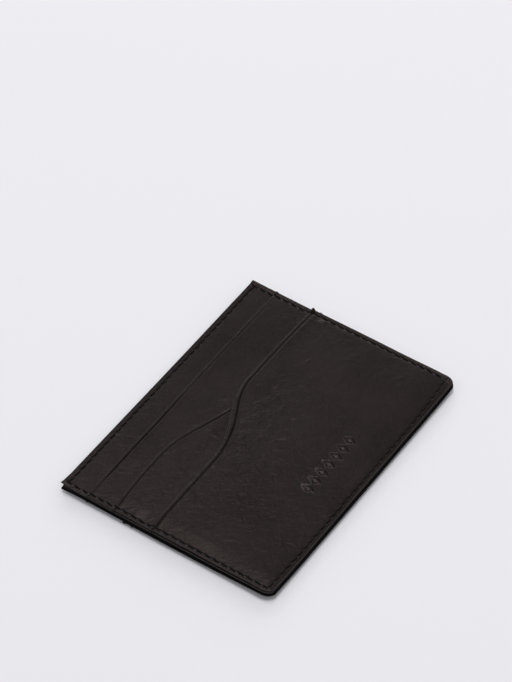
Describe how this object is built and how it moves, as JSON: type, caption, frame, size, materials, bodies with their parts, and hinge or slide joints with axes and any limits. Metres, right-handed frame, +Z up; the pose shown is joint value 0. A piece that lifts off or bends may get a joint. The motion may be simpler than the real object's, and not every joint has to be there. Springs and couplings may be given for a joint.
{
  "type": "card holder",
  "caption": "Flat leather card holder: two stitched leaves with a centre pocket open at the mouth and cascading card slots with S-curved mouths on each face.",
  "frame": {"origin": "on the surface that the holder lies on, under the middle of its outline", "axes": "+X along the long edges and the mouth, +Y towards the open mouth, +Z up out of the front leaf"},
  "size_m": [0.1, 0.0754, 0.0044],
  "materials": {
    "leather": "black leather with a fine natural grain and a low sheen, soft creases",
    "lining": "thin black twill lining",
    "liner": "thin black ribbed pocket lining",
    "thread": "waxed black twisted thread"
  },
  "bodies": {
    "root": {"front_lining": "lining", "front_base_panel": "leather", "front_upper_pocket": "leather", "front_upper_pocket_liner": "liner", "front_upper_floor_stitches": "thread", "front_middle_pocket": "leather", "front_middle_pocket_liner": "liner", "front_middle_floor_stitches": "thread", "front_lower_pocket": "leather", "front_mouth_stitches": "thread", "back_lining": "lining", "back_base_panel": "leather", "back_upper_pocket": "leather", "back_upper_pocket_liner": "liner", "back_upper_floor_stitches": "thread", "back_middle_pocket": "leather", "back_middle_pocket_liner": "liner", "back_middle_floor_stitches": "thread", "back_lower_pocket": "leather", "back_mouth_stitches": "thread", "seam_front_thread": "thread", "seam_back_thread": "thread"}
  },
  "joints": []
}
